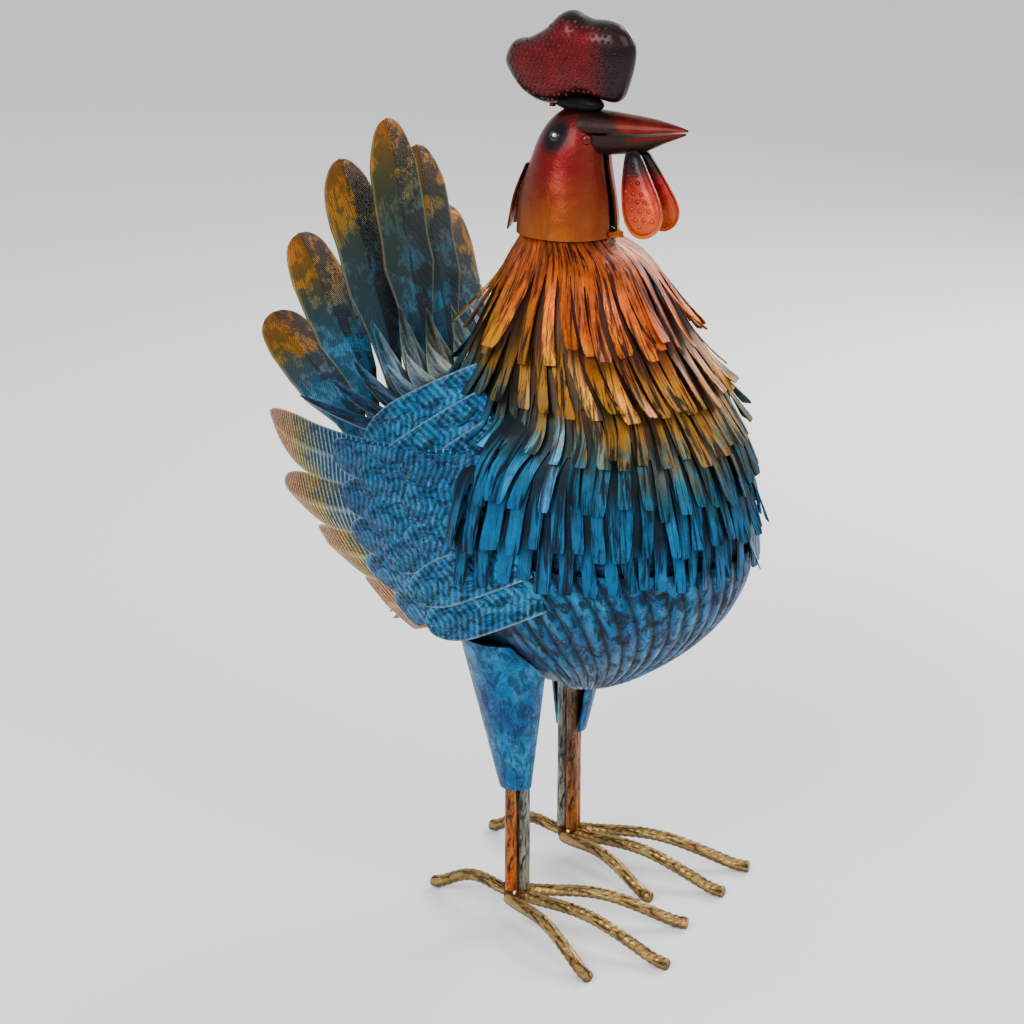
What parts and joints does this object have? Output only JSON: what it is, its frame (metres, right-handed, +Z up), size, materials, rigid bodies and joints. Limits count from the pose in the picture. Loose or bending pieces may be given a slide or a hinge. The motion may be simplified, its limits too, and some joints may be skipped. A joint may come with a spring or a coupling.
{
  "type": "metal rooster figure",
  "caption": "Standing rooster figure of painted sheet metal, with cut fringes on neck and breast, creased wings, a fan tail, a puffed comb and splayed feet of bent rod.",
  "frame": {"origin": "on the ground under the middle of the figure's bounding box", "axes": "+Z up, -Y the way the bird faces, +X the bird's left side"},
  "size_m": [0.141, 0.2195, 0.36],
  "materials": {
    "breast_blue": "brushed metallic blue under clear varnish",
    "wing_blue": "pressed metallic blue with brushed silver ribs",
    "hackle_orange": "brushed metallic orange under clear varnish",
    "tail_teal": "metallic teal shading to gold with oblique hatching",
    "head_red": "glossy crimson with orange blotches at the rim",
    "comb_maroon": "glossy maroon with a dark border and raised dots",
    "beak_orange": "glossy red-orange",
    "wattle_coral": "glossy coral red",
    "rod_gold": "gold and silver rubbed over dark ribbed rod"
  },
  "bodies": {
    "root": {"body_shell": "breast_blue", "belly_plate": "breast_blue", "breast_fringe_1": "breast_blue", "breast_fringe_2": "breast_blue", "breast_fringe_3": "breast_blue", "hackle_fringe_1": "hackle_orange", "hackle_fringe_2": "hackle_orange", "hackle_fringe_3": "hackle_orange", "wing_right": "wing_blue", "wing_left": "wing_blue", "wing_cover_right": "wing_blue", "wing_cover_left": "wing_blue", "rump_feathers": "wing_blue", "saddle_feathers": "tail_teal", "tail_feather_1": "tail_teal", "tail_feather_2": "tail_teal", "tail_feather_3": "tail_teal", "tail_feather_4": "tail_teal", "tail_feather_5": "tail_teal", "tail_feather_6": "tail_teal", "tail_feather_7": "tail_teal", "head_cap": "head_red", "comb_right": "comb_maroon", "comb_left": "comb_maroon", "comb_stud_front": "comb_maroon", "comb_stud_rear": "comb_maroon", "beak_upper": "beak_orange", "beak_lower": "beak_orange", "wattle_right": "wattle_coral", "wattle_left": "wattle_coral", "thigh_right": "wing_blue", "thigh_left": "wing_blue", "leg_right": "rod_gold", "leg_left": "rod_gold", "outer_toe_right": "rod_gold", "middle_toe_right": "rod_gold", "inner_toe_right": "rod_gold", "hind_toe_right": "rod_gold", "outer_toe_left": "rod_gold", "middle_toe_left": "rod_gold", "inner_toe_left": "rod_gold", "hind_toe_left": "rod_gold"}
  },
  "joints": []
}
